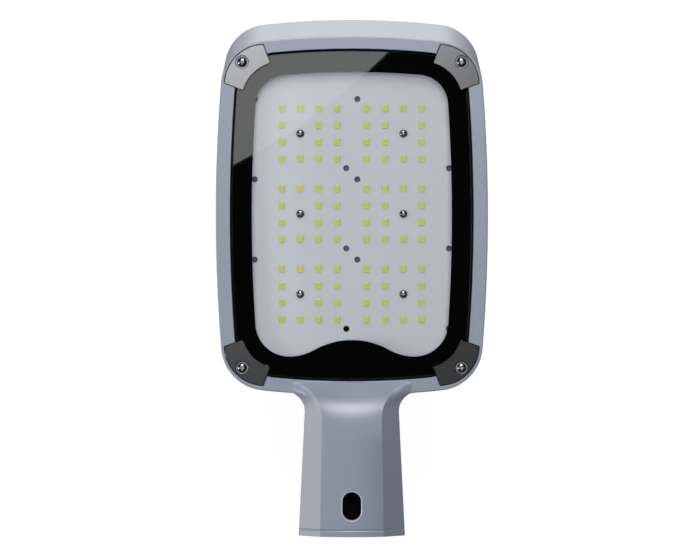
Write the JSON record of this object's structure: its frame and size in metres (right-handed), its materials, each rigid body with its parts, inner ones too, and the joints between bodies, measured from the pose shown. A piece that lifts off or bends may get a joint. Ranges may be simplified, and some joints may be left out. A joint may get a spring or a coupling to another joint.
{
  "type": "led street light head",
  "caption": "Rounded rectangular street light head with a flat glass face, corner clips, an LED board, cooling fins behind it and an octagonal socket neck for a pole.",
  "frame": {"origin": "on the pole socket's axis, at the plane of its mouth", "axes": "+Y points out of the socket's mouth, -Y towards the nose, -Z is the glass side that faces the road, +Z is the sky side, +X is to the right when the glass is seen from below with the nose up"},
  "size_m": [0.188, 0.3588, 0.0877],
  "materials": {
    "housing_paint": "fine satin powder coat, light grey",
    "glass": "clear hardened glass, polished",
    "border_enamel": "black enamel fired on the inner face of the glass",
    "gasket_rubber": "black silicone",
    "clip_metal": "satin pressed aluminium",
    "screw_steel": "stainless steel",
    "board_white": "white solder mask on an aluminium board",
    "thermal_pad": "grey silicone pad",
    "led_white": "white moulded package",
    "led_phosphor": "yellow-green phosphor in clear silicone",
    "driver_case": "plain case",
    "terminal_plastic": "white nylon",
    "lead_brown": "insulated lead",
    "lead_blue": "insulated lead",
    "lead_red": "insulated lead",
    "lead_black": "insulated lead",
    "gland_plastic": "black nylon"
  },
  "bodies": {
    "root": {"housing": "housing_paint", "glass_pane": "glass", "glass_border": "border_enamel", "glass_gasket": "gasket_rubber", "clip_nose_left": "clip_metal", "clip_nose_right": "clip_metal", "clip_neck_left": "clip_metal", "clip_neck_right": "clip_metal", "clip_screws": "screw_steel", "led_board": "board_white", "thermal_pad": "thermal_pad", "led_packages": "led_white", "led_phosphors": "led_phosphor", "board_screws": "screw_steel", "led_driver": "driver_case", "driver_screws": "screw_steel", "terminal_block": "terminal_plastic", "terminal_screws": "screw_steel", "board_connector": "terminal_plastic", "lead_live": "lead_brown", "lead_neutral": "lead_blue", "lead_positive": "lead_red", "lead_negative": "lead_black", "gland_body": "gland_plastic", "gland_cap": "gland_plastic", "gland_nut": "gland_plastic", "gland_seal": "gasket_rubber", "pole_screws": "screw_steel"}
  },
  "joints": []
}
